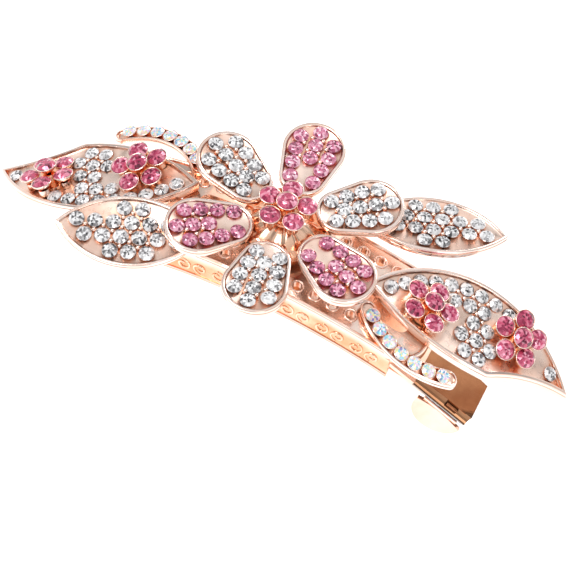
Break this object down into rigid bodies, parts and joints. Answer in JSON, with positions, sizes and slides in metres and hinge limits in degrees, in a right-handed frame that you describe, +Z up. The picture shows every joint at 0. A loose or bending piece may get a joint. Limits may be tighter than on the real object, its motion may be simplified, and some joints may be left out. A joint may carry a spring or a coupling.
{
  "type": "rhinestone hair clip",
  "caption": "Arched French barrette with a pierced bridge, hinged clasp arm, squeeze catch, and a flower and leaf ornament set with round stones.",
  "frame": {"origin": "centre of the clip's outline in plan, at the lowest point of the catch ears", "axes": "+X along the clip towards the catch, +Y across it, +Z up through the flower"},
  "size_m": [0.0972, 0.0364, 0.0309],
  "materials": {
    "rose_gold_casting": "rose gold plated casting, polished",
    "clip_strip": "rose gold plated spring steel strip",
    "polished_catch": "mirror polished rose gold plating",
    "pink_stone": "faceted pink stone with foil back",
    "rose_stone": "faceted deep rose stone with foil back",
    "clear_stone": "faceted clear stone with foil back",
    "iridescent_stone": "faceted stone with a rainbow coating"
  },
  "bodies": {
    "root": {"top_plate": "clip_strip", "hinge_pin": "clip_strip", "tension_spring": "clip_strip", "catch_saddle": "polished_catch", "plate_rivets": "clip_strip", "filigree_bridge": "rose_gold_casting", "flower_hub": "rose_gold_casting", "flower_rivet": "rose_gold_casting", "left_big_leaf": "rose_gold_casting", "right_big_leaf": "rose_gold_casting", "left_small_leaf": "rose_gold_casting", "right_small_leaf": "rose_gold_casting", "left_stone_stem": "rose_gold_casting", "right_stone_stem": "rose_gold_casting", "petal_clear_right": "rose_gold_casting", "petal_pink_back": "rose_gold_casting", "petal_clear_left": "rose_gold_casting", "petal_pink_left": "rose_gold_casting", "petal_clear_front": "rose_gold_casting", "petal_pink_right": "rose_gold_casting", "centre_cluster_cup": "rose_gold_casting", "left_inner_cup": "rose_gold_casting", "left_outer_cup": "rose_gold_casting", "right_inner_cup": "rose_gold_casting", "right_outer_cup": "rose_gold_casting", "stones_petal_pink_back": "pink_stone", "stones_petal_pink_left": "pink_stone", "stones_petal_pink_right": "pink_stone", "stones_centre": "rose_stone", "stones_left_inner": "rose_stone", "stones_left_outer": "rose_stone", "stones_right_inner": "rose_stone", "stones_right_outer": "rose_stone", "stones_petal_clear_right": "clear_stone", "stones_petal_clear_left": "clear_stone", "stones_petal_clear_front": "clear_stone", "stones_left_big_leaf": "clear_stone", "stones_right_big_leaf": "clear_stone", "stones_left_small_leaf": "clear_stone", "stones_right_small_leaf": "clear_stone", "stones_left_stem": "iridescent_stone", "stones_right_stem": "iridescent_stone"},
    "clasp_arm": {"clasp_arm": "clip_strip"},
    "front_wing": {"catch_wing_front": "polished_catch"},
    "rear_wing": {"catch_wing_rear": "polished_catch"}
  },
  "joints": [
    {"name": "arm_hinge", "type": "hinge", "parent": "root", "child": "clasp_arm", "pos_m": [-0.0315, -0.00175, 0.00465], "axis": [0, 1, 0], "range_deg": [0, 70]},
    {"name": "front_wing_squeeze", "type": "hinge", "parent": "root", "child": "front_wing", "pos_m": [0.03187, -0.00627, 0.00392], "axis": [0.891, 0, -0.454], "range_deg": [0, 8], "stiffness_Nm_per_rad": 0.05},
    {"name": "rear_wing_squeeze", "type": "hinge", "parent": "root", "child": "rear_wing", "pos_m": [0.03187, 0.00277, 0.00392], "axis": [-0.891, 0, 0.454], "range_deg": [0, 8], "stiffness_Nm_per_rad": 0.05}
  ]
}
